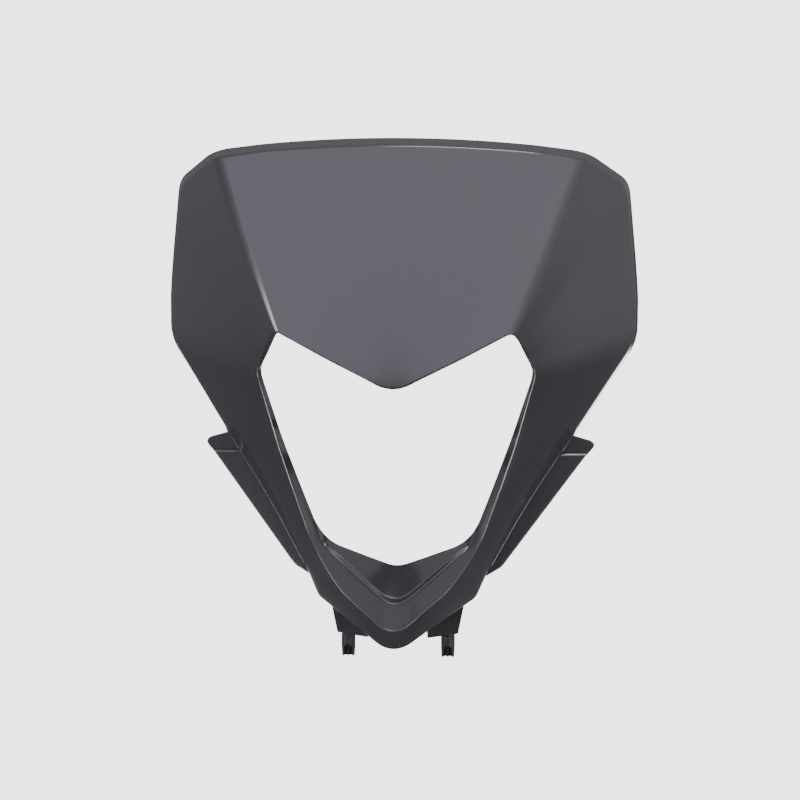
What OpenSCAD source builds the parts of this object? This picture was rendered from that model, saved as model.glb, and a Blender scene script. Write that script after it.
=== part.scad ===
// Headlight cowl for a light off-road motorcycle, one moulded piece.
// Millimetres. +X is the rider's left-right line, +Y points back to the fork,
// +Z is up. The origin is midway between the two upper fixing bosses, on
// the plane of their rear faces.

/* [Shell] */
// Wall thickness of the moulded shell
wall = 2.5; // [2:0.1:3.5]
// Setback of the rounding on the front edges
edge_round = 1.2; // [0.4:0.1:2]
// Forward crown of the number plate face between its edges
plate_crown = 2.5; // [0:0.1:6]
// Forward crown of the cheeks between opening and outer edge
cheek_crown = 2.5; // [0:0.1:6]

/* [Upper fixing bosses] */
// Distance between the two upper screw holes
upper_spacing = 120; // [90:1:150]
// Outer diameter of an upper boss
upper_boss_d = 11; // [9:0.5:14]
// Diameter of the screw hole in an upper boss
upper_hole_d = 5.2; // [3:0.1:6]
// Depth of the screw hole in an upper boss
upper_hole_depth = 15; // [8:1:20]

/* [Lamp bosses] */
// Distance between the two lamp screw holes
lamp_spacing = 188; // [180:1:200]
// Height of the lamp screw holes relative to the upper bosses
lamp_z = -76; // [-82:1:-70]
// Depth position of the lamp boss faces
lamp_face_y = -3; // [-6:0.5:2]
// Outer diameter of a lamp boss
lamp_boss_d = 10; // [8:0.5:12]
// Diameter of the screw hole in a lamp boss
lamp_hole_d = 4.2; // [3:0.1:5]
// Depth of the screw hole in a lamp boss
lamp_hole_depth = 11; // [6:1:14]

/* [Wings] */
// Thickness of the side wings
wing_t = 3; // [2:0.1:4]
// Height of the step across each wing
wing_step = 2; // [1:0.1:4]
// Lean of the wings, top to the rear, degrees
wing_lean = 14; // [5:1:25]

/* [Lower tabs and pegs] */
// Thickness of the lower tabs
tab_t = 3; // [2:0.1:4]
// Front face of the lower tabs
tab_y = -15; // [-18:0.5:-12]
// Distance between the two peg centres
peg_spacing = 60; // [50:1:70]
// Outer diameter of a peg
peg_d = 8.4; // [6:0.1:10]
// Depth of the arched recess in the front of each peg
peg_recess = 4.2; // [2:0.1:5]
// Depth position of the peg centres
peg_y = -9.5; // [-12:0.5:-6]
// Height of the lower end of the pegs
peg_end_z = -253; // [-260:1:-246]
// Height of the closed upper end of the pegs
peg_top_z = -217; // [-225:1:-210]
// Height where the round fitting length of a peg starts, under the tab
peg_seat_z = -240; // [-244:0.5:-238]
// Length of the round fitting length of a peg
peg_seat_l = 7.4; // [4:0.1:9]
// Width of the arched recess in the front of a peg
peg_recess_w = 4.8; // [3:0.1:5]

/* [Hidden] */
plastic = [0.27, 0.27, 0.29];
eps = 0.02;

// Ring curves of the right half, one point per spoke, from the top centre
// line round the outside to the chin centre line.
// Rear edge of the headlight opening
ring_open = [[0, -54, -83.5], [12.5, -52, -76.4], [39.5, -45, -64.2], [67.8, -38, -50.8],
    [71, -31.5, -57], [75, -28, -65.5], [80.2, -26, -75.8], [67, -28, -116],
    [55.8, -24.5, -147.5], [44.2, -21, -178.6], [32, -20, -183.5], [16, -20, -189.5],
    [0, -21, -195]];
// Front lip round the opening
ring_lip = [[0, -65, -84], [12.5, -64, -76.6], [39, -61, -63.7], [68, -57, -48.5],
    [72.5, -48, -56.5], [76.5, -40.5, -65.5], [81, -34.5, -75.5], [70.5, -30.5, -115.5],
    [59.8, -31.5, -147.2], [49, -34, -179], [33, -53, -200.5], [20.5, -59, -210],
    [0, -61, -229]];
// Outer edge of the front face
ring_edge = [[0, -9, 54.3], [37, -8, 53.4], [74, -5, 50.8], [108, 2, 45.7],
    [134.2, 38, 26.4], [141, 35, -35], [140.7, 32, -66], [103.5, 7, -119.5],
    [76.5, -5.5, -158.5], [53, -18, -200], [47, -21, -213.5], [26.5, -41, -223.4],
    [0, -61.5, -239.2]];
// Rear edge of the outer flange
ring_rim = [[0, -1, 58.1], [37, 0, 57.2], [74.5, 3, 54.4], [110.2, 10, 49.4],
    [136.4, 46, 28.8], [142.8, 45, -36], [142.7, 43, -68.2], [105, 14, -120.6],
    [77.5, 5.5, -159.5], [53.5, -8, -201], [47, -10, -214.5], [26, -29, -224.4],
    [0, -50, -237.7]];
// Top and foot of the step in the scoop under the opening, last four spokes
step_top = [[45.3, -22.5, -178.8], [36, -30, -183.5], [18.5, -37, -198], [0, -41, -213.5]];
step_foot = [[46.3, -24, -179.6], [37, -30.8, -186], [18.8, -37.2, -201], [0, -41, -216.5]];

// Corner blends: share of the span before and after each spoke
blend_open = [[0, .05, .3, .15, .3, .3, .5, .2, .3, .45, .1, .1, .37],
    [.95, .3, .3, .6, .3, .3, .15, .2, .3, .95, .05, .1, 0]];
blend_lip = [[0, .05, .3, .12, .2, .2, .4, .2, .4, .4, .5, .5, .55],
    [.95, .3, .3, .45, .2, .2, .12, .2, .4, .5, .5, .4, 0]];
blend_edge = [[0, .5, .5, .13, .2, .5, .3, .3, .5, .1, .2, .3, .42],
    [.5, .5, .3, .12, .12, .3, .15, .4, .5, .2, .1, .3, 0]];
blend_rim = [[0, .5, .5, .3, .2, .5, .3, .3, .5, .1, .2, .3, .42],
    [.5, .5, .3, .25, .12, .3, .15, .4, .5, .2, .1, .3, 0]];
blend_step = [[0, .05, .3, .12, .2, .2, .4, .2, .4, .3, .5, .5, .5],
    [.95, .3, .3, .45, .2, .2, .12, .2, .4, .5, .5, .4, 0]];

last = len(ring_open) - 1;
function mix(a, b, s) = a + (b - a) * s;
function unit(v) = v / norm(v);
function flip_x(p) = [-p[0], p[1], p[2]];

ring_step_top = [for (k = [0:last]) k <= last - 4 ? mix(ring_open[k], ring_lip[k], 0.33) : step_top[k - last + 3]];
ring_step_foot = [for (k = [0:last]) k <= last - 4 ? mix(ring_open[k], ring_lip[k], 0.66) : step_foot[k - last + 3]];

// Length of the blend before and after spoke k
function lead(b, k) = k == 0 ? b[1][0] : b[0][k];
function trail(b, k) = k == last ? b[0][k] : b[1][k];
function inside(b, k, t) = t >= k - lead(b, k) && t <= k + trail(b, k);
function before(p, k) = k == 0 ? flip_x(p[1]) : p[k - 1];
function after(p, k) = k == last ? flip_x(p[k - 1]) : p[k + 1];
// Quadratic blend round one spoke
function arc(p, b, k, t) = let (
        lo = lead(b, k), hi = trail(b, k),
        a = mix(p[k], before(p, k), lo), c = mix(p[k], after(p, k), hi),
        s = (t - (k - lo)) / (lo + hi))
    (1 - s) * (1 - s) * a + 2 * s * (1 - s) * p[k] + s * s * c;
// Point of a ring at spoke position t
function at(p, b, t) = t < 0 ? flip_x(at(p, b, -t)) : t > last ? flip_x(at(p, b, 2 * last - t)) :
    let (n = min(last, max(0, round(t))),
        c = [for (k = [max(0, n - 1):min(last, n + 1)]) if (inside(b, k, t)) k],
        i = min(last - 1, floor(t)))
    len(c) > 0 ? arc(p, b, c[0], t) : mix(p[i], p[i + 1], t - i);
// Running direction of a ring
function dir(p, b, t) = unit(at(p, b, t + 0.03) - at(p, b, t - 0.03));
// Forward crown of the face at spoke position t
function crown(t) = t <= 4 ? plate_crown : t <= 8 ? cheek_crown : cheek_crown * max(0.1, (last - t) / 5);
// Face normal of one band of the section
function band(d1, d2, a, c) = unit(cross(unit(d1 + d2), unit(c - a)));
function inset(q, n1, n2) = q - wall * (n1 + n2) / max(0.35, 1 + n1 * n2);

// Closed wall section at spoke position t
function section(t) = let (
        q0 = at(ring_open, blend_open, t), q1 = at(ring_step_top, blend_step, t),
        q2 = at(ring_step_foot, blend_step, t), q3 = at(ring_lip, blend_lip, t),
        q4 = at(ring_edge, blend_edge, t), q5 = at(ring_rim, blend_rim, t),
        d0 = dir(ring_open, blend_open, t), d3 = dir(ring_lip, blend_lip, t),
        d4 = dir(ring_edge, blend_edge, t), d5 = dir(ring_rim, blend_rim, t),
        nf = band(d3, d4, q3, q4),
        m = [for (s = [0.25, 0.5, 0.75]) mix(q3, q4, s) + nf * crown(t) * 4 * s * (1 - s)],
        n_lip = band(d0, d3, q0, q3),
        n_up = band(d0, d3, q0, q1), n_low = band(d3, d3, q2, q3),
        n_step = unit(n_up + n_low),
        n_in = band(d3, d3, q3, m[0]), n_m0 = band(d3, d4, q3, m[1]), n_m1 = nf, n_m2 = band(d3, d4, m[1], q4),
        n_out = band(d4, d4, m[2], q4), n_fl = band(d4, d5, q4, q5),
        r3a = edge_round / norm(q2 - q3), r3b = edge_round / norm(m[0] - q3),
        r4a = edge_round / norm(m[2] - q4), r4b = edge_round / norm(q5 - q4),
        e3a = mix(q3, q2, r3a), e3c = mix(q3, m[0], r3b),
        e4a = mix(q4, m[2], r4a), e4c = mix(q4, q5, r4b))
    [q0, q1, q2, e3a, (e3a + 2 * q3 + e3c) / 4, e3c, m[0], m[1], m[2],
     e4a, (e4a + 2 * q4 + e4c) / 4, e4c, q5,
     q5 - wall * n_fl, inset(q4, n_out, n_fl),
     m[2] - wall * n_m2, m[1] - wall * n_m1, m[0] - wall * n_m0,
     inset(q3, n_low, n_in), q2 - wall * n_step, q0 - wall * n_up];

// Spoke positions of the right half, closer together at the corners
stops = [for (k = [0:last]) each [for (s = [-0.25, -0.1, 0, 0.1, 0.25, 0.5]) if (k + s >= 0 && k + s <= last) k + s]];
half = [for (t = stops) section(t)];
loops = concat(half, [for (i = [len(half) - 2:-1:1]) [for (p = half[i]) flip_x(p)]]);

module shell() {
    n = len(loops);
    m = len(loops[0]);
    polyhedron(
        points = [for (l = loops) each l],
        faces = [for (i = [0:n - 1], j = [0:m - 1])
            let (a = i * m + j, b = i * m + (j + 1) % m,
                c = ((i + 1) % n) * m + (j + 1) % m, d = ((i + 1) % n) * m + j)
            each [[a, b, c], [a, c, d]]]);
}

// Outline of a wing in its own leaning plane
wing_outline = [[100.5, 1], [104, -0.2], [110.8, -2.1], [113.8, -3.6], [115.5, -5.2], [115.9, -7],
    [115, -9.2], [112.4, -11.8], [64, -77], [61.6, -79.8], [53, -85], [50.5, -83], [72.5, -41]];

module wing() {
    translate([0, 9, -120]) rotate([90 - wing_lean, 0, 0]) {
        // upper tongue, carried a little way under the lower panel
        translate([0, 0, -wing_t]) linear_extrude(height = wing_t) intersection() {
            polygon(wing_outline);
            translate([40, -16]) square([90, 30]);
        }
        // lower panel, one step forward
        translate([0, 0, wing_step - wing_t]) linear_extrude(height = wing_t) intersection() {
            polygon(wing_outline);
            translate([40, -100]) square([90, 88.7]);
        }
    }
}

module tab() {
    // web that drops behind the scoop to the tab
    translate([0, tab_y + tab_t, 0]) rotate([90, 0, 0]) linear_extrude(height = tab_t)
        polygon([[16.5, -192.6], [31, -187.4], [31, -207], [40.95, -214], [36.3, -237.6], [17.8, -240.6]]);
    // ledge that joins the web to the rear edge of the scoop
    translate([0, tab_y + 0.5, 0]) rotate([90, 0, 0]) linear_extrude(height = 7)
        polygon([[16.5, -191.2], [31, -186], [31, -188.8], [16.5, -194]]);
    // rib that ties the web to the chin
    translate([26, 0, 0]) rotate([90, 0, 90]) linear_extrude(height = 2)
        polygon([[-47, -210], [-39, -221.5], [-28, -222.5], [tab_y + 1, -230], [tab_y + 1, -190], [-30, -193]]);
}

module peg() {
    translate([peg_spacing / 2, peg_y, 0]) difference() {
        union() {
            // lead-in taper, fitting length, thinner root with a coned top
            translate([0, 0, peg_end_z]) cylinder(h = peg_seat_z - peg_seat_l - peg_end_z, d1 = peg_d - 0.7, d2 = peg_d, $fn = 48);
            translate([0, 0, peg_seat_z - peg_seat_l]) cylinder(h = peg_seat_l, d = peg_d, $fn = 48);
            translate([0, 0, peg_seat_z]) cylinder(h = peg_top_z - peg_seat_z, d = peg_d - 0.9, $fn = 48);
            translate([0, 0, peg_top_z]) cylinder(h = 3, d1 = peg_d - 0.9, d2 = peg_d - 4, $fn = 48);
        }
        // arched recess in the front of the lower end, with one thin rib on its floor
        difference() {
            translate([0, peg_recess - peg_d / 2, peg_end_z - 1]) rotate([90, 0, 0]) linear_extrude(height = peg_d) {
                translate([-peg_recess_w / 2, 0]) square([peg_recess_w, 6]);
                translate([0, 6]) circle(d = peg_recess_w, $fn = 36);
            }
            translate([-0.5, peg_recess - peg_d / 2 - 1.8, peg_end_z - 2]) cube([1, peg_d, 30]);
        }
    }
}

// Boss along Y that ends on face_y and is trimmed at its root to the middle
// of the wall there: root is the wall's place, turn its two slopes in degrees
module boss(x, root, face_y, z, d, turn) {
    difference() {
        translate([x, face_y, z]) rotate([90, 0, 0]) cylinder(h = face_y - root + d, d = d, $fn = 48);
        translate([x, root, z]) rotate(turn) translate([-d * 2, -d * 4, -d * 2]) cube(d * 4);
    }
}
module hole(x, y, z, d, depth) {
    translate([x, y + 1, z]) rotate([90, 0, 0]) cylinder(h = depth + 1, d = d, $fn = 48);
}

// Gussets beside one upper boss, from the plate to the boss
module gussets() {
    x = upper_spacing / 2;
    translate([x - 1, 0, 0]) rotate([90, 0, 90]) linear_extrude(height = 2)
        polygon([[-39.5, -18], [-36.5, -18], [-6, -4.5], [-6, 4.5], [-19, 18], [-21.5, 18]]);
}

module cowl() {
    color(plastic) difference() {
        union() {
            shell();
            for (m = [0, 1]) mirror([m, 0, 0]) {
                wing();
                tab();
                peg();
                boss(upper_spacing / 2, -30.7, 0, 0, upper_boss_d, [-26.5, 0, 0]);
                boss(lamp_spacing / 2, -19.4, lamp_face_y, lamp_z, lamp_boss_d, [8, 0, 45.5]);
                gussets();
            }
        }
        for (m = [0, 1]) mirror([m, 0, 0]) {
            hole(upper_spacing / 2, 0, 0, upper_hole_d, upper_hole_depth);
            hole(lamp_spacing / 2, lamp_face_y, lamp_z, lamp_hole_d, lamp_hole_depth);
        }
    }
}

cowl();
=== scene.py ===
import math
import bpy, bmesh
import numpy as np
from mathutils import Vector, Matrix


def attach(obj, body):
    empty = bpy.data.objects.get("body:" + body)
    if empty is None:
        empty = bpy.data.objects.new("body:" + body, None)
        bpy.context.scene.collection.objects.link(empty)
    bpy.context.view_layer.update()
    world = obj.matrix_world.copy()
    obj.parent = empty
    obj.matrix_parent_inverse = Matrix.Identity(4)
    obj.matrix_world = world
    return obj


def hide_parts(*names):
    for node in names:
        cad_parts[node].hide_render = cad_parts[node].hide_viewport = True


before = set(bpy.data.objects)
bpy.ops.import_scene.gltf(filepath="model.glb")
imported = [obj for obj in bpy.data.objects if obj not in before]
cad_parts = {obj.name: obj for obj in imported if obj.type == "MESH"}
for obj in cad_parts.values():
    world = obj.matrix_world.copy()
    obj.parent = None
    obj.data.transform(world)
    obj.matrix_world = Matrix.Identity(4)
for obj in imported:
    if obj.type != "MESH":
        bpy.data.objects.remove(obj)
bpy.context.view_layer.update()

# ------------------------------------------------------------------ ring data
# One point per spoke of the right half, millimetres, the same curves as the CAD.
RING_OPEN = [[0, -54, -83.5], [12.5, -52, -76.4], [39.5, -45, -64.2], [67.8, -38, -50.8],
    [71, -31.5, -57], [75, -28, -65.5], [80.2, -26, -75.8], [67, -28, -116],
    [55.8, -24.5, -147.5], [44.2, -21, -178.6], [32, -20, -183.5], [16, -20, -189.5],
    [0, -21, -195]]
RING_LIP = [[0, -65, -84], [12.5, -64, -76.6], [39, -61, -63.7], [68, -57, -48.5],
    [72.5, -48, -56.5], [76.5, -40.5, -65.5], [81, -34.5, -75.5], [70.5, -30.5, -115.5],
    [59.8, -31.5, -147.2], [49, -34, -179], [33, -53, -200.5], [20.5, -59, -210],
    [0, -61, -229]]
RING_EDGE = [[0, -9, 54.3], [37, -8, 53.4], [74, -5, 50.8], [108, 2, 45.7],
    [134.2, 38, 26.4], [141, 35, -35], [140.7, 32, -66], [103.5, 7, -119.5],
    [76.5, -5.5, -158.5], [53, -18, -200], [47, -21, -213.5], [26.5, -41, -223.4],
    [0, -61.5, -239.2]]
RING_RIM = [[0, -1, 58.1], [37, 0, 57.2], [74.5, 3, 54.4], [110.2, 10, 49.4],
    [136.4, 46, 28.8], [142.8, 45, -36], [142.7, 43, -68.2], [105, 14, -120.6],
    [77.5, 5.5, -159.5], [53.5, -8, -201], [47, -10, -214.5], [26, -29, -224.4],
    [0, -50, -237.7]]
STEP_TOP = [[45.3, -22.5, -178.8], [36, -30, -183.5], [18.5, -37, -198], [0, -41, -213.5]]
STEP_FOOT = [[46.3, -24, -179.6], [37, -30.8, -186], [18.8, -37.2, -201], [0, -41, -216.5]]
BLEND_OPEN = [[0, .05, .3, .15, .3, .3, .5, .2, .3, .45, .1, .1, .37],
    [.95, .3, .3, .6, .3, .3, .15, .2, .3, .95, .05, .1, 0]]
BLEND_LIP = [[0, .05, .3, .12, .2, .2, .4, .2, .4, .4, .5, .5, .55],
    [.95, .3, .3, .45, .2, .2, .12, .2, .4, .5, .5, .4, 0]]
BLEND_EDGE = [[0, .5, .5, .13, .2, .5, .3, .3, .5, .1, .2, .3, .42],
    [.5, .5, .3, .12, .12, .3, .15, .4, .5, .2, .1, .3, 0]]
BLEND_RIM = [[0, .5, .5, .3, .2, .5, .3, .3, .5, .1, .2, .3, .42],
    [.5, .5, .3, .25, .12, .3, .15, .4, .5, .2, .1, .3, 0]]
BLEND_STEP = [[0, .05, .3, .12, .2, .2, .4, .2, .4, .3, .5, .5, .5],
    [.95, .3, .3, .45, .2, .2, .12, .2, .4, .5, .5, .4, 0]]
WALL = 2.5
CROWN = 2.5
LAST = len(RING_OPEN) - 1


def mix(a, b, s):
    return a + (b - a) * s


def unit(v):
    return v / np.maximum(np.linalg.norm(v, axis=-1, keepdims=True), 1e-12)


FLIP = np.array([-1.0, 1, 1])
ring_open, ring_lip, ring_edge, ring_rim = [np.array(r, float) for r in (RING_OPEN, RING_LIP, RING_EDGE, RING_RIM)]
ring_top = np.array([list(mix(ring_open[k], ring_lip[k], .33)) for k in range(LAST - 3)] + STEP_TOP)
ring_foot = np.array([list(mix(ring_open[k], ring_lip[k], .66)) for k in range(LAST - 3)] + STEP_FOOT)


def ring_at(P, B, ts):
    out = np.empty((len(ts), 3))
    for j, u in enumerate(ts):
        sign = 1.0
        if u < 0:
            u, sign = -u, -1.0
        if u > LAST:
            u, sign = 2 * LAST - u, -1.0
        n = int(min(LAST, max(0, math.floor(u + 0.5))))
        p = None
        for k in (n - 1, n, n + 1):
            if 0 <= k <= LAST:
                l = B[1][0] if k == 0 else B[0][k]
                h = B[0][k] if k == LAST else B[1][k]
                if k - l <= u <= k + h:
                    a = mix(P[k], P[1] * FLIP if k == 0 else P[k - 1], l)
                    c = mix(P[k], P[LAST - 1] * FLIP if k == LAST else P[k + 1], h)
                    s = (u - (k - l)) / (l + h)
                    p = (1 - s) ** 2 * a + 2 * s * (1 - s) * P[k] + s * s * c
                    break
        if p is None:
            i = min(LAST - 1, int(math.floor(u)))
            p = mix(P[i], P[i + 1], u - i)
        out[j] = p * (FLIP if sign < 0 else 1)
    return out


def ring_dir(P, B, ts, e=0.012):
    return unit(ring_at(P, B, ts + e) - ring_at(P, B, ts - e))


def spoke_positions(step):
    """Spoke positions of the right half, evenly spaced along the longest ring and closer where it bends."""
    t = np.linspace(0, LAST, 4801)
    w = np.zeros(len(t) - 1)
    for P, B, g in ((ring_rim, BLEND_RIM, 2.2), (ring_edge, BLEND_EDGE, 2.2), (ring_lip, BLEND_LIP, 2.2), (ring_open, BLEND_OPEN, 2.2)):
        q = ring_at(P, B, t)
        d = np.diff(q, axis=0)
        L = np.linalg.norm(d, axis=1)
        u = unit(d)
        turn = np.zeros(len(L))
        turn[1:] = np.arccos(np.clip((u[1:] * u[:-1]).sum(1), -1, 1))
        w = np.maximum(w, L + g * 3.0 * turn)
    c = np.concatenate([[0], np.cumsum(w)])
    n = int(math.ceil(c[-1] / step))
    return np.interp(np.linspace(0, c[-1], n + 1), c, t)


def mitre(q, n1, n2, t):
    d = np.maximum(0.35, 1 + (n1 * n2).sum(-1, keepdims=True))
    return q - t * (n1 + n2) / d


def band(d1, d2, a, c):
    return unit(np.cross(unit(d1 + d2), unit(c - a)))


def corner(prev, v, nxt, r, n):
    """Points of a rounded corner at v; r is the setback along both legs."""
    la = np.linalg.norm(prev - v, axis=-1, keepdims=True)
    lc = np.linalg.norm(nxt - v, axis=-1, keepdims=True)
    a = v + (prev - v) * np.minimum(0.48, r / np.maximum(la, 1e-9))
    c = v + (nxt - v) * np.minimum(0.48, r / np.maximum(lc, 1e-9))
    if n == 0:
        return [v]
    return [(1 - s) ** 2 * a + 2 * s * (1 - s) * v + s * s * c for s in np.linspace(0, 1, n + 1)]


def run(a, b, n):
    """Inner points of a straight stretch."""
    return [mix(a, b, (i + 1) / (n + 1)) for i in range(n)]


def per_spoke(table, t):
    """A value along the spokes, from (spoke, value) pairs."""
    return np.interp(t, [p[0] for p in table], [p[1] for p in table])[:, None]


def shell_loops(t, fine):
    q0 = ring_at(ring_open, BLEND_OPEN, t)
    q1 = ring_at(ring_top, BLEND_STEP, t)
    q2 = ring_at(ring_foot, BLEND_STEP, t)
    q3 = ring_at(ring_lip, BLEND_LIP, t)
    q4 = ring_at(ring_edge, BLEND_EDGE, t)
    q5 = ring_at(ring_rim, BLEND_RIM, t)
    d0, d3 = ring_dir(ring_open, BLEND_OPEN, t), ring_dir(ring_lip, BLEND_LIP, t)
    d4, d5 = ring_dir(ring_edge, BLEND_EDGE, t), ring_dir(ring_rim, BLEND_RIM, t)
    crown = np.where(t <= 8, CROWN, CROWN * np.maximum(0.1, (LAST - t) / 5))[:, None]
    nf = band(d3, d4, q3, q4)

    def face(s):
        return mix(q3, q4, s) + nf * crown * 4 * s * (1 - s)

    n_lip = band(d0, d3, q0, q3)
    n_up = band(d0, d3, q0, q1)
    n_low = band(d3, d3, q2, q3)
    n_step = unit(n_up + n_low)
    n_in = band(d3, d3, q3, face(.25))
    n_out = band(d4, d4, face(.75), q4)
    n_fl = band(d4, d5, q4, q5)
    L = np.linalg.norm(q4 - q3, axis=1, keepdims=True)
    # setback of the rounding of the two front edges along the spokes
    r3 = per_spoke([(0, 1.7), (2.6, 1.7), (3.2, 1.4), (12, 1.2)], t)
    r4 = per_spoke([(0, 1.3), (5.7, 1.3), (6.1, 2.4), (6.9, 2.4), (7.2, 1.3), (12, 1.3)], t)
    n3, n4 = fine["round"], fine["round"]
    pts = []
    b5 = q5 - WALL * n_fl
    b4 = mitre(q4, n_out, n_fl, WALL)
    b3 = mitre(q3, n_low, n_in, WALL)
    b2 = q2 - WALL * n_step
    b0 = q0 - WALL * n_up
    # front: opening edge, scoop with its step, lip
    pts += corner(b0, q0, q1, 0.45, fine["small"])
    pts += run(q0 + (q1 - q0) * .1, q1, fine["scoop"])
    pts += corner(q0, q1, q2, 0.7, fine["small"])
    pts += corner(q1, q2, q3, 0.9, fine["small"])
    pts += run(q2, q3, fine["scoop"])
    s3 = np.minimum(0.2, r3 / L)
    s4 = np.minimum(0.2, r4 / L)
    e3 = face(s3)
    l23 = np.linalg.norm(q2 - q3, axis=1, keepdims=True)
    a3 = q3 + (q2 - q3) * np.minimum(0.48, r3 / l23)
    c3 = q3 + (e3 - q3)
    pts += [(1 - s) ** 2 * a3 + 2 * s * (1 - s) * q3 + s * s * c3 for s in np.linspace(0, 1, n3 + 1)]
    nfc = fine["face"]
    pts += [face(s3 + (1 - s3 - s4) * (i / (nfc + 1))) for i in range(1, nfc + 1)]
    e4 = face(1 - s4)
    l45 = np.linalg.norm(q5 - q4, axis=1, keepdims=True)
    c4 = q4 + (q5 - q4) * np.minimum(0.4, r4 / l45)
    pts += [(1 - s) ** 2 * e4 + 2 * s * (1 - s) * q4 + s * s * c4 for s in np.linspace(0, 1, n4 + 1)]
    # outer flange
    pts += run(c4, q5, fine["flange"])
    pts += corner(q4, q5, b5, 0.5, fine["small"])
    pts += corner(q5, b5, b4, 0.5, fine["small"])
    pts += run(b5, b4, fine["flange"])
    # back of the face, following the crown
    nb = fine["back"]
    back = [face(s) - WALL * band(d3, d4, face(s - .1), face(s + .1)) for s in np.linspace(.85, .15, nb)]
    pts += corner(b5, b4, back[0], 1.2, fine["small"])
    pts += back
    pts += corner(back[-1], b3, b2, 1.2, fine["small"])
    pts += run(b3, b2, fine["scoop"])
    pts += corner(b3, b2, b0, 0.8, fine["small"])
    pts += run(b2, b0, fine["scoop"])
    pts += corner(b2, b0, q0, 0.45, fine["small"])
    return np.stack(pts, axis=1)


def shell_mesh(name, step, fine):
    t = spoke_positions(step)
    half = shell_loops(t, fine)
    half[0, :, 0] = 0
    half[-1, :, 0] = 0
    left = half[1:-1][::-1] * FLIP
    loops = np.concatenate([half, left], axis=0)
    n, m = loops.shape[:2]
    co = loops.reshape(-1, 3) / 1000.0
    i = np.arange(n)[:, None]
    j = np.arange(m)[None, :]
    a = i * m + j
    b = i * m + (j + 1) % m
    c = ((i + 1) % n) * m + (j + 1) % m
    d = ((i + 1) % n) * m + j
    quads = np.stack([a, d, c, b], axis=-1).reshape(-1, 4)
    me = bpy.data.meshes.new(name)
    me.from_pydata(co.tolist(), [], quads.tolist())
    me.validate()
    ob = bpy.data.objects.new(name, me)
    bpy.context.scene.collection.objects.link(ob)
    bm = bmesh.new()
    bm.from_mesh(me)
    bmesh.ops.remove_doubles(bm, verts=bm.verts, dist=1e-6)
    bmesh.ops.dissolve_degenerate(bm, dist=1e-6, edges=bm.edges)
    bmesh.ops.recalc_face_normals(bm, faces=bm.faces)
    bm.to_mesh(me)
    bm.free()
    return ob


FINE = dict(round=5, small=3, scoop=5, face=34, flange=5, back=16)
shell = shell_mesh("cowl", 1.7, FINE)


# ------------------------------------------------------------------ helpers for the added features
def rounded_outline(pts, radii, n=6):
    """A closed 2-D outline whose corners are rounded by the given setbacks."""
    pts = [np.array(p, float) for p in pts]
    out = []
    for i, p in enumerate(pts):
        r = radii[i] if hasattr(radii, "__len__") else radii
        a, c = pts[i - 1], pts[(i + 1) % len(pts)]
        if r <= 0:
            out.append(p)
            continue
        la, lc = np.linalg.norm(a - p), np.linalg.norm(c - p)
        pa = p + (a - p) * min(.48, r / la)
        pc = p + (c - p) * min(.48, r / lc)
        for s in np.linspace(0, 1, n + 1):
            out.append((1 - s) ** 2 * pa + 2 * s * (1 - s) * p + s * s * pc)
    return out


def inset(pts, d):
    """The outline moved inwards by d, corner by corner."""
    p = np.array(pts, float)
    area = 0.5 * np.sum(p[:, 0] * np.roll(p[:, 1], -1) - np.roll(p[:, 0], -1) * p[:, 1])
    sgn = 1.0 if area > 0 else -1.0
    e = unit(np.roll(p, -1, axis=0) - p)
    nb = sgn * np.stack([-e[:, 1], e[:, 0]], axis=1)
    na = np.roll(nb, 1, axis=0)
    k = np.maximum(0.25, 1 + (na * nb).sum(1, keepdims=True))
    return p + d * (na + nb) / k


def prism(name, outline, to3, t0, t1, bevel=0.5, seg=4):
    """A plate between two planes, its rims rounded. to3 maps (u, v, w) in mm to row millimetres."""
    bm = bmesh.new()
    levels = [(0.0, t0), (0.0, t1)]
    if bevel > 0:
        arc = np.linspace(0, math.pi / 2, seg + 1)
        levels = [(bevel * (1 - math.sin(f)), t0 + bevel * (1 - math.cos(f))) for f in arc]
        levels += [(bevel * (1 - math.cos(f)), t1 - bevel * (1 - math.sin(f))) for f in arc]
    loops = []
    for d, h in levels:
        q = inset(outline, d) if d > 1e-9 else np.array(outline, float)
        loops.append([bm.verts.new(Vector(to3(u, v, h)) / 1000) for u, v in q])
    n = len(outline)
    bm.faces.new(loops[0])
    bm.faces.new(loops[-1][::-1])
    for lo, hi in zip(loops, loops[1:]):
        for i in range(n):
            bm.faces.new([lo[i], hi[i], hi[(i + 1) % n], lo[(i + 1) % n]])
    bmesh.ops.recalc_face_normals(bm, faces=bm.faces)
    me = bpy.data.meshes.new(name)
    bm.to_mesh(me)
    bm.free()
    ob = bpy.data.objects.new(name, me)
    bpy.context.scene.collection.objects.link(ob)
    return ob


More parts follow.
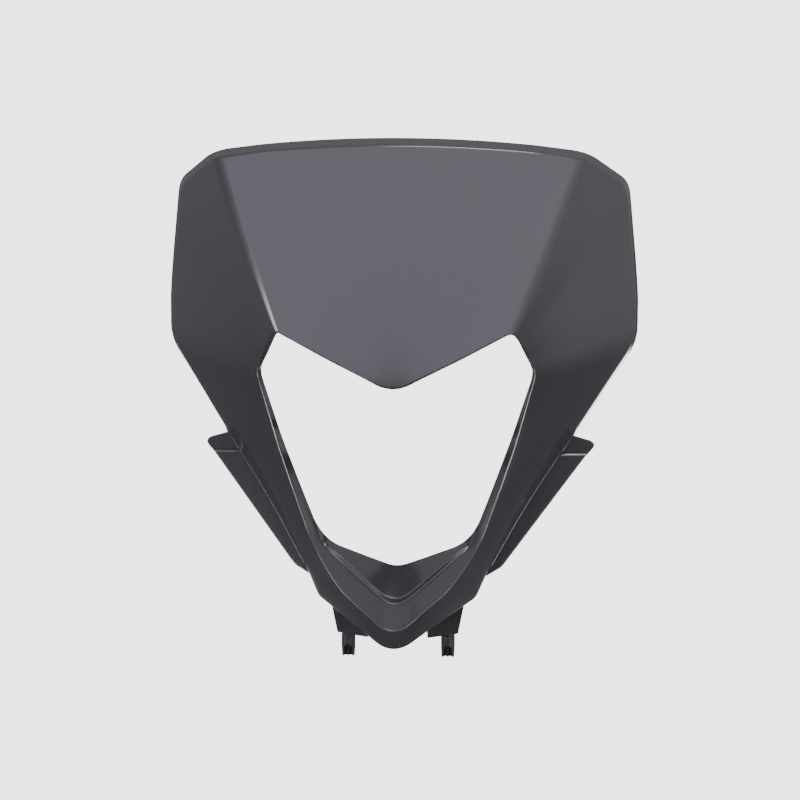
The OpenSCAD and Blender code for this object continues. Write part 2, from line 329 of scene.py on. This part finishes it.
def lathe(name, profile, centre, axis="z", seg=64):
    """A closed solid of revolution from (radius, height) pairs that start and end on the axis."""
    bm = bmesh.new()
    rows = []
    for r, h in profile:
        if r < 1e-6:
            rows.append([bm.verts.new((0, 0, h))])
        else:
            rows.append([bm.verts.new((r * math.cos(2 * math.pi * i / seg), r * math.sin(2 * math.pi * i / seg), h)) for i in range(seg)])
    for a, b in zip(rows, rows[1:]):
        if len(a) == 1 and len(b) == 1:
            continue
        for i in range(seg):
            j = (i + 1) % seg
            if len(a) == 1:
                bm.faces.new([a[0], b[i], b[j]])
            elif len(b) == 1:
                bm.faces.new([a[i], b[0], a[j]])
            else:
                bm.faces.new([a[i], b[i], b[j], a[j]])
    bmesh.ops.recalc_face_normals(bm, faces=bm.faces)
    me = bpy.data.meshes.new(name)
    bm.to_mesh(me)
    bm.free()
    M = Matrix.Identity(4)
    if axis == "y":
        M = Matrix.Rotation(-math.pi / 2, 4, "X")   # local +z becomes +y
    M = Matrix.Translation(Vector(centre)) @ M
    me.transform(M)
    me.transform(Matrix.Scale(0.001, 4))
    ob = bpy.data.objects.new(name, me)
    bpy.context.scene.collection.objects.link(ob)
    return ob


def mirrored(ob):
    c = ob.copy()
    c.data = ob.data.copy()
    c.data.transform(Matrix.Scale(-1, 4, Vector((1, 0, 0))))
    c.data.flip_normals()
    bpy.context.scene.collection.objects.link(c)
    return c


def boolean(target, tool, op, solver="MANIFOLD"):
    m = target.modifiers.new(op, "BOOLEAN")
    m.operation = op
    m.object = tool
    m.solver = solver
    dg = bpy.context.evaluated_depsgraph_get()
    me = bpy.data.meshes.new_from_object(target.evaluated_get(dg))
    target.modifiers.remove(m)
    old = target.data
    target.data = me
    bpy.data.meshes.remove(old)
    me.name = target.name
    bpy.data.objects.remove(tool)
    return target


def box_solid(name, lo, hi, M=None):
    bm = bmesh.new()
    bmesh.ops.create_cube(bm, size=1.0)
    for v in bm.verts:
        v.co = Vector([(lo[i] + hi[i]) / 2 + v.co[i] * (hi[i] - lo[i]) for i in range(3)])
    if M is not None:
        bm.transform(M)
    bm.transform(Matrix.Scale(0.001, 4))
    me = bpy.data.meshes.new(name)
    bm.to_mesh(me)
    bm.free()
    ob = bpy.data.objects.new(name, me)
    bpy.context.scene.collection.objects.link(ob)
    return ob


# ------------------------------------------------------------------ wings
LEAN = math.radians(14)
STEP = 2.0


def wing_to3(x, s, w):
    # w grows forward, s climbs the leaning plane
    return (x, 9 + s * math.sin(LEAN) - w * math.cos(LEAN), -120 + s * math.cos(LEAN) + w * math.sin(LEAN))


tongue_pts = [(99, 1.4), (104, -0.2), (115.4, -3.4), (117.1, -6.3), (112.2, -12), (100, -16), (92, -16)]
tongue = prism("wing_tongue", rounded_outline(tongue_pts, [0, 0, 3.0, 3.0, 0.3, 0, 0], 8), wing_to3, -3, 0, 0.55)
panel_pts = [(96, -11.3), (112.45, -11.3), (64, -77), (61.6, -79.8), (53, -85), (50.5, -83), (72.5, -41)]
panel = prism("wing_panel", rounded_outline(panel_pts, [0, 0, 1.6, 1.6, 0, 0, 0], 4), wing_to3, STEP - 3, STEP, 0.8, 5)

# the upper rim of the panel slopes back to the tongue
boolean(panel, prism("step_slope", [(-12.6, STEP), (-10.2, STEP - 1.2), (-10.2, STEP + 2), (-12.6, STEP + 2)], lambda s, w, x: wing_to3(x, s, w), 80, 125, 0), "DIFFERENCE")


def wing_weld(name, t0, t1, n, level, lift, radius=0.75):
    """Fillet bead where the leg's outer flange runs into the front of the wing."""
    ts = np.linspace(t0, t1, n)
    q4 = ring_at(ring_edge, BLEND_EDGE, ts)
    q5 = ring_at(ring_rim, BLEND_RIM, ts)
    nrm = np.array([0.0, -math.cos(LEAN), math.sin(LEAN)])
    org = np.array([0.0, 9.0, -120.0])
    path = []
    for a, c in zip(q4, q5):
        ha, hc = (a - org) @ nrm, (c - org) @ nrm
        f = min(1.0, max(0.0, (ha - level) / (ha - hc)))
        p = mix(a, c, f * lift)
        path.append(p)
    path = np.array(path)
    k = np.array([1, 2, 3, 2, 1], float) / 9
    sm = path.copy()
    for i in range(3):
        sm[2:-2, i] = np.convolve(path[:, i], k, "valid")
    tan = unit(np.gradient(sm, axis=0))
    bm = bmesh.new()
    rings = []
    for i, (p, t) in enumerate(zip(sm, tan)):
        u = unit(np.cross(t, nrm))
        v = np.cross(t, u)
        r = radius * min(1.0, (min(i, n - 1 - i) + .3) / 3)
        rings.append([bm.verts.new(Vector(p + r * (math.cos(a) * u + math.sin(a) * v)) / 1000) for a in np.linspace(0, 2 * math.pi, 17)[:-1]])
    for a, c in zip(rings, rings[1:]):
        for i in range(16):
            bm.faces.new([a[i], a[(i + 1) % 16], c[(i + 1) % 16], c[i]])
    bm.faces.new(rings[0][::-1])
    bm.faces.new(rings[-1])
    bmesh.ops.recalc_face_normals(bm, faces=bm.faces)
    me = bpy.data.meshes.new(name)
    bm.to_mesh(me)
    bm.free()
    ob = bpy.data.objects.new(name, me)
    bpy.context.scene.collection.objects.link(ob)
    return ob


weld_top = wing_weld("weld_top", 7.0, 7.3, 16, 0.0, 0.85, 0.85)
weld = wing_weld("wing_weld", 7.275, 8.95, 70, STEP, 0.8)

# ------------------------------------------------------------------ lower tabs
TAB_Y, TAB_T = -15.0, 3.0


def xz_to3(x, z, w):
    return (x, w, z)


tab = prism("tab", rounded_outline([(16.5, -192.6), (31, -187.4), (31, -207), (40.95, -214), (36.3, -237.6), (17.8, -240.6)], [0, 0, 0, 0, 0.8, 0.8], 4), xz_to3, TAB_Y, TAB_Y + TAB_T, 0.45)
ledge = prism("ledge", [(16.5, -191.2), (31, -186), (31, -188.8), (16.5, -194)], xz_to3, TAB_Y - 6.5, TAB_Y + 0.5, 0)


def yz_to3(y, z, w):
    return (w, y, z)


rib = prism("rib", [(-47, -210), (-39, -221.5), (-28, -222.5), (TAB_Y + 1, -230), (TAB_Y + 1, -190), (-30, -193)], yz_to3, 26, 28, 0)
gusset = prism("gusset", [(-39.5, -18), (-36.5, -18), (-6, -4.5), (-6, 4.5), (-19, 18), (-21.5, 18)], yz_to3, 59, 61, 0)

# ------------------------------------------------------------------ pegs
PX, PY, PR = 30.0, -9.5, 4.2
P0, P1 = -253.0, -217.0


def round_profile(r, h, e, n=4, top=True, bottom=True):
    out = [(0, 0)]
    if bottom:
        out += [(r - e + e * math.sin(a), e - e * math.cos(a)) for a in np.linspace(0, math.pi / 2, n + 1)]
    else:
        out += [(r, 0)]
    if top:
        out += [(r - e + e * math.cos(a), h - e + e * math.sin(a)) for a in np.linspace(0, math.pi / 2, n + 1)]
    else:
        out += [(r, h)]
    out += [(0, h)]
    return out


SEAT, SEAT_L = -240.0, 7.4
taper_r, seat_lo, seat_hi = PR - .35, SEAT - SEAT_L - P0, SEAT - P0
peg_profile = [(0, 0)] + [(taper_r - .35 + .35 * math.sin(a), .35 - .35 * math.cos(a)) for a in np.linspace(0, math.pi / 2, 5)]
peg_profile += [(PR, seat_lo), (PR, seat_hi), (PR - .45, seat_hi + .2), (PR - .45, P1 - P0), (PR - 2, P1 - P0 + 3), (0, P1 - P0 + 3)]
peg = lathe("peg", peg_profile, (PX, PY, P0), seg=72)
PW = 4.8
arch = [(PX - PW / 2, P0 - 1), (PX + PW / 2, P0 - 1)]
arch += [(PX + PW / 2 * math.cos(f), P0 + 5 + PW / 2 * math.sin(f)) for f in np.linspace(0, math.pi, 25)]
recess = prism("recess", arch, xz_to3, PY - 2 * PR, PY, 0)
boolean(recess, box_solid("peg_rib", (PX - .5, PY - 1.8, P0 - 3), (PX + .5, PY + 9, P0 + 25)), "DIFFERENCE")
boolean(peg, recess, "DIFFERENCE")


# ------------------------------------------------------------------ bosses
def boss(name, x, root, face_y, z, d, turn, e=0.6):
    h = face_y - root + d
    b = lathe(name, round_profile(d / 2, h, e, bottom=False), (x, root - d, z), axis="y", seg=72)
    M = Matrix.Translation(Vector((x, root, z))) @ Matrix.Rotation(math.radians(turn[1]), 4, "Z") @ Matrix.Rotation(math.radians(turn[0]), 4, "X")
    return boolean(b, box_solid(name + "_root", (-2 * d, -4 * d, -2 * d), (2 * d, 0, 2 * d), M), "DIFFERENCE")


boss_up = boss("boss_up", 60, -30.2, 0, 0, 11, (-26.5, 0))
boss_lamp = boss("boss_lamp", 94, -18.5, -3, -76, 10, (8, 45.5))


def hole(name, x, face_y, z, d, depth):
    r = d / 2
    prof = [(0, 0), (r, 0.8), (r, depth - .5), (r + .5, depth), (r + .5, depth + 2), (0, depth + 2)]
    return lathe(name, prof, (x, face_y - depth, z), axis="y", seg=56)


parts = [tongue, panel, weld_top, weld, tab, ledge, rib, gusset, peg, boss_up, boss_lamp]
for p in parts:
    q = mirrored(p)
    boolean(shell, q, "UNION")
    boolean(shell, p, "UNION")
for h in (hole("hole_up", 60, 0, 0, 5.2, 15), hole("hole_lamp", 94, -3, -76, 4.2, 11)):
    q = mirrored(h)
    boolean(shell, q, "DIFFERENCE")
    boolean(shell, h, "DIFFERENCE")

me = shell.data
me.update()
for p in me.polygons:
    p.use_smooth = True
me.set_sharp_from_angle(angle=math.radians(38))
wn = shell.modifiers.new("weighted", "WEIGHTED_NORMAL")
wn.mode = "FACE_AREA"
wn.keep_sharp = True
wn.weight = 50
me = bpy.data.meshes.new_from_object(shell.evaluated_get(bpy.context.evaluated_depsgraph_get()))
shell.modifiers.clear()
shell.data = me
me.name = "cowl"
print("cowl faces", len(me.polygons), "verts", len(me.vertices))

# ------------------------------------------------------------------ material
def plastic(name):
    m = bpy.data.materials.new(name)
    m.use_nodes = True
    nt = m.node_tree
    nd, ln = nt.nodes, nt.links
    for n in list(nd):
        nd.remove(n)
    out = nd.new("ShaderNodeOutputMaterial")
    bs = nd.new("ShaderNodeBsdfPrincipled")
    ln.new(bs.outputs["BSDF"], out.inputs["Surface"])
    tc = nd.new("ShaderNodeTexCoord")
    # slow flow variation of the moulding in tone and gloss
    flow = nd.new("ShaderNodeTexNoise")
    flow.inputs["Scale"].default_value = 9.0
    flow.inputs["Detail"].default_value = 3.0
    ln.new(tc.outputs["Object"], flow.inputs["Vector"])
    tone = nd.new("ShaderNodeMix")
    tone.data_type = "RGBA"
    tone.inputs["A"].default_value = (0.0194, 0.0190, 0.0213, 1)
    tone.inputs["B"].default_value = (0.0228, 0.0223, 0.0252, 1)
    ln.new(flow.outputs["Fac"], tone.inputs["Factor"])
    ln.new(tone.outputs["Result"], bs.inputs["Base Color"])
    rough = nd.new("ShaderNodeMapRange")
    rough.inputs["From Min"].default_value = 0.3
    rough.inputs["From Max"].default_value = 0.7
    rough.inputs["To Min"].default_value = 0.16
    rough.inputs["To Max"].default_value = 0.19
    ln.new(flow.outputs["Fac"], rough.inputs["Value"])
    ln.new(rough.outputs["Result"], bs.inputs["Roughness"])
    bs.inputs["IOR"].default_value = 1.49
    # very fine moulded grain
    grain = nd.new("ShaderNodeTexNoise")
    grain.inputs["Scale"].default_value = 1800.0
    grain.inputs["Detail"].default_value = 2.0
    ln.new(tc.outputs["Object"], grain.inputs["Vector"])
    bump = nd.new("ShaderNodeBump")
    bump.inputs["Strength"].default_value = 0.05
    bump.inputs["Distance"].default_value = 0.0001
    ln.new(grain.outputs["Fac"], bump.inputs["Height"])
    ln.new(bump.outputs["Normal"], bs.inputs["Normal"])
    return m


mat = plastic("cowl_plastic")
shell.data.materials.clear()
shell.data.materials.append(mat)
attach(shell, "root")
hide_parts("cowl")

# ------------------------------------------------------------------ floor and backdrop
def pale(name, col, glow):
    m = bpy.data.materials.new(name)
    m.use_nodes = True
    b = m.node_tree.nodes["Principled BSDF"]
    b.inputs["Base Color"].default_value = (*col, 1)
    b.inputs["Roughness"].default_value = 0.9
    b.inputs["Specular IOR Level"].default_value = 0.0
    b.inputs["Emission Color"].default_value = (1, 1, 1, 1)
    b.inputs["Emission Strength"].default_value = glow
    return m


def stage_only(ob):
    """The pale surroundings are seen directly and neither light nor shade the object."""
    ob.visible_glossy = False
    ob.visible_diffuse = False
    ob.visible_shadow = False


def disc(name, radius, z, mat):
    bm = bmesh.new()
    bmesh.ops.create_circle(bm, cap_ends=True, segments=96, radius=radius)
    me = bpy.data.meshes.new(name)
    bm.to_mesh(me)
    bm.free()
    ob = bpy.data.objects.new(name, me)
    ob.location = (0, 0, z)
    ob.data.materials.append(mat)
    bpy.context.scene.collection.objects.link(ob)
    return ob


def dome(name, radius, mat):
    bm = bmesh.new()
    bmesh.ops.create_uvsphere(bm, u_segments=96, v_segments=48, radius=radius)
    bmesh.ops.reverse_faces(bm, faces=bm.faces)
    me = bpy.data.meshes.new(name)
    bm.to_mesh(me)
    bm.free()
    for p in me.polygons:
        p.use_smooth = True
    ob = bpy.data.objects.new(name, me)
    ob.data.materials.append(mat)
    bpy.context.scene.collection.objects.link(ob)
    return ob


GLOW = 3.4
stage_only(disc("floor", 11.0, -0.46, pale("floor_pale", (0.0, 0.0, 0.0), GLOW)))
stage_only(dome("backdrop", 12.0, pale("backdrop_pale", (0.0, 0.0, 0.0), GLOW)))


# ------------------------------------------------------------------ light
AIM = Vector((0, 0.0, -0.1))


def area(name, az, el, dist, wide, high, power, color=(1, 1, 1), roll=0.0):
    l = bpy.data.lights.new(name, "AREA")
    l.energy = power
    l.shape = "RECTANGLE"
    l.size = wide
    l.size_y = high
    l.color = color
    ob = bpy.data.objects.new(name, l)
    a, e = math.radians(az), math.radians(el)
    d = Vector((math.sin(a) * math.cos(e), -math.cos(a) * math.cos(e), math.sin(e)))
    ob.location = AIM + d * dist
    rt = Vector((math.cos(a), math.sin(a), 0))
    up = d.cross(rt)
    M = Matrix(((rt.x, up.x, d.x), (rt.y, up.y, d.y), (rt.z, up.z, d.z)))
    ob.rotation_euler = (M @ Matrix.Rotation(math.radians(roll), 3, "Z")).to_euler()
    ob.visible_camera = False
    bpy.context.scene.collection.objects.link(ob)
    return ob


def box_light(name, az, el, dist, wide, high, radiance, **k):
    """Area light stated by its radiance, so its brightness in a reflection stays put when its size changes."""
    return area(name, az, el, dist, wide, high, radiance * math.pi * wide * high, **k)


COOL = (0.94, 0.935, 1.08)


def curved_softbox(name, az0, az1, el0, el1, lift, radius, radiance, color, level=None):
    """Softbox bent round the object, its lower edge lifted towards the ends; level(az, el) grades its radiance."""
    n, k = 28, 12
    vs, fs, lv = [], [], []
    for i in range(n + 1):
        f = i / n
        az = math.radians(mix(az0, az1, f))
        low = el0 + lift * (2 * f - 1) ** 2
        for j in range(k + 1):
            el = math.radians(mix(low, el1, j / k))
            vs.append((radius * math.sin(az) * math.cos(el), -radius * math.cos(az) * math.cos(el), radius * math.sin(el)))
            lv.append(level(math.degrees(az), math.degrees(el)) if level else 1.0)
    for i in range(n):
        for j in range(k):
            p = i * (k + 1) + j
            fs.append((p, p + k + 1, p + k + 2, p + 1))
    me = bpy.data.meshes.new(name)
    me.from_pydata(vs, [], fs)
    m = bpy.data.materials.new(name)
    m.use_nodes = True
    nt = m.node_tree
    nt.nodes.clear()
    out = nt.nodes.new("ShaderNodeOutputMaterial")
    em = nt.nodes.new("ShaderNodeEmission")
    em.inputs["Color"].default_value = (*color, 1)
    em.inputs["Strength"].default_value = radiance
    if level:
        me.attributes.new("level", "FLOAT", "POINT").data.foreach_set("value", lv)
        at = nt.nodes.new("ShaderNodeAttribute")
        at.attribute_name = "level"
        mu = nt.nodes.new("ShaderNodeMath")
        mu.operation = "MULTIPLY"
        mu.inputs[1].default_value = radiance
        nt.links.new(at.outputs["Fac"], mu.inputs[0])
        nt.links.new(mu.outputs[0], em.inputs["Strength"])
    nt.links.new(em.outputs["Emission"], out.inputs["Surface"])
    me.materials.append(m)
    ob = bpy.data.objects.new(name, me)
    ob.location = AIM
    ob.visible_camera = False
    bpy.context.scene.collection.objects.link(ob)
    return ob


def room(el, side):
    """Radiance of the surroundings at an elevation, which the graded softboxes blend into."""
    return side * float(np.interp(el, [-26, -14, 0, 22, 50], [0.27, 0.36, 0.56, 0.49, 0.68]))


def ease(x, a, b):
    t = min(1.0, max(0.0, (x - a) / (b - a)))
    return t * t * (3 - 2 * t)


def flag(name, az, el, dist, wide, high):
    """Black card that keeps light out of one reflection."""
    m = bpy.data.materials.new(name)
    m.use_nodes = True
    nt = m.node_tree
    nt.nodes.clear()
    out = nt.nodes.new("ShaderNodeOutputMaterial")
    em = nt.nodes.new("ShaderNodeEmission")
    em.inputs["Strength"].default_value = 0.0
    nt.links.new(em.outputs["Emission"], out.inputs["Surface"])
    a, e = math.radians(az), math.radians(el)
    d = Vector((math.sin(a) * math.cos(e), -math.cos(a) * math.cos(e), math.sin(e)))
    rt = Vector((math.cos(a), math.sin(a), 0))
    up = d.cross(rt)
    me = bpy.data.meshes.new(name)
    me.from_pydata([tuple(d * dist + rt * (i * wide / 2) + up * (j * high / 2)) for i, j in ((-1, -1), (1, -1), (1, 1), (-1, 1))], [], [(0, 1, 2, 3)])
    me.materials.append(m)
    ob = bpy.data.objects.new(name, me)
    ob.location = AIM
    ob.visible_camera = False
    bpy.context.scene.collection.objects.link(ob)
    return ob


curved_softbox("front_top", -60, 54, 27, 60, 7, 1.7, 2.65, COOL)
curved_softbox("overhead", -12, 64, 63, 77, 0, 1.65, 15, (1, 1, 1))
curved_softbox("side_left", -112, -22, -16, 50, 0, 1.78, 1.0, COOL,
    lambda az, el: room(el, 0.86) + float(np.interp(az, [-112, -97, -85, -75, -60, -36, -22], [0, .04, .25, .6, 1.1, 1.3, 1.3])) * ease(el, -14, 6))
curved_softbox("side_right", 22, 142, -24, 50, 0, 1.78, 1.0, (0.985, 0.975, 1.02),
    lambda az, el: room(el, 1.06) + float(np.interp(az, [22, 60, 80, 100, 112, 125, 142], [1.5, 1.4, .95, .40, .27, .1, 0])) * ease(el, -24, 2))
box_light("left_strip", -55, 22, 1.5, 1.20, 0.14, 16, roll=36)
box_light("left_end", -44, 27, 1.5, 0.34, 0.20, 9, roll=36)
box_light("left_front", -13, 2, 1.6, 0.28, 0.24, 8)
box_light("low_left", -45, -24, 0.42, 0.34, 0.04, 21)
box_light("low_right", 45, -24, 0.42, 0.34, 0.04, 20)
box_light("rim_left", -160, -13.5, 1.1, 0.26, 0.10, 6)
box_light("rim_right", 155, -17.5, 1.1, 0.27, 0.13, 6)
box_light("lip_left", 161, -31, 1.3, 0.46, 0.34, 0.9)
box_light("lip_right", -161, -26, 1.3, 0.46, 0.34, 1.2)
flag("front_flag", 18, 9, 1.15, 0.26, 0.42)

w = bpy.data.worlds.new("world")
bpy.context.scene.world = w
w.use_nodes = True
nt = w.node_tree
bg = nt.nodes["Background"]
tc = nt.nodes.new("ShaderNodeTexCoord")
sx = nt.nodes.new("ShaderNodeSeparateXYZ")
ramp = nt.nodes.new("ShaderNodeValToRGB")
nt.links.new(tc.outputs["Generated"], sx.inputs["Vector"])
mr = nt.nodes.new("ShaderNodeMapRange")
mr.inputs["From Min"].default_value = -1
nt.links.new(sx.outputs["Z"], mr.inputs["Value"])
nt.links.new(mr.outputs["Result"], ramp.inputs["Fac"])
nt.links.new(ramp.outputs["Color"], bg.inputs["Color"])
cr = ramp.color_ramp
cr.elements[0].position, cr.elements[0].color = 0.0, (0.10, 0.10, 0.11, 1)
cr.elements[1].position, cr.elements[1].color = 1.0, (0.95, 0.94, 1.0, 1)
for pos, v in ((0.16, 0.25), (0.28, 0.225), (0.42, 0.44), (0.5, 0.60), (0.62, 0.5), (0.80, 0.72), (0.92, 0.86)):
    e = cr.elements.new(pos)
    e.color = (v, v * 0.985, v * 1.06, 1)


def fade(axis, a, b, va, vb):
    n = nt.nodes.new("ShaderNodeMapRange")
    n.interpolation_type = "SMOOTHSTEP"
    n.inputs["From Min"].default_value = a
    n.inputs["From Max"].default_value = b
    n.inputs["To Min"].default_value = va
    n.inputs["To Max"].default_value = vb
    nt.links.new(sx.outputs[axis], n.inputs["Value"])
    return n.outputs["Result"]


def times(p, q):
    n = nt.nodes.new("ShaderNodeMath")
    n.operation = "MULTIPLY"
    nt.links.new(p, n.inputs[0])
    nt.links.new(q, n.inputs[1])
    return n.outputs[0]


# dim behind, where the inner walls of the opening look, dim in front, and a little brighter on the right
behind = times(fade("Y", 0.42, 0.72, 1.0, 0.82), fade("Y", 0.79, 0.95, 1.0, 0.2))
level = times(times(behind, fade("Y", -0.97, -0.6, 0.5, 1.0)), fade("X", -1, 1, 0.82, 1.1))
nt.links.new(level, bg.inputs["Strength"])

# ------------------------------------------------------------------ camera
cam = bpy.data.cameras.new("camera")
cam.sensor_width = 36
cam.sensor_fit = "HORIZONTAL"
cam.lens = 36 * 2500 / 800
co = bpy.data.objects.new("camera", cam)
a, e = math.radians(3.313), math.radians(10.313)
back = Vector((math.sin(a) * math.cos(e), -math.cos(a) * math.cos(e), math.sin(e)))
co.location = Vector((0, 0.010, -0.100)) + back * 1.5
right = Vector((math.cos(a), math.sin(a), 0))
up = back.cross(right)
co.matrix_world = Matrix(((right.x, up.x, back.x, co.location.x), (right.y, up.y, back.y, co.location.y), (right.z, up.z, back.z, co.location.z), (0, 0, 0, 1)))
cam.clip_start, cam.clip_end = 0.05, 20
bpy.context.scene.collection.objects.link(co)
bpy.context.scene.camera = co
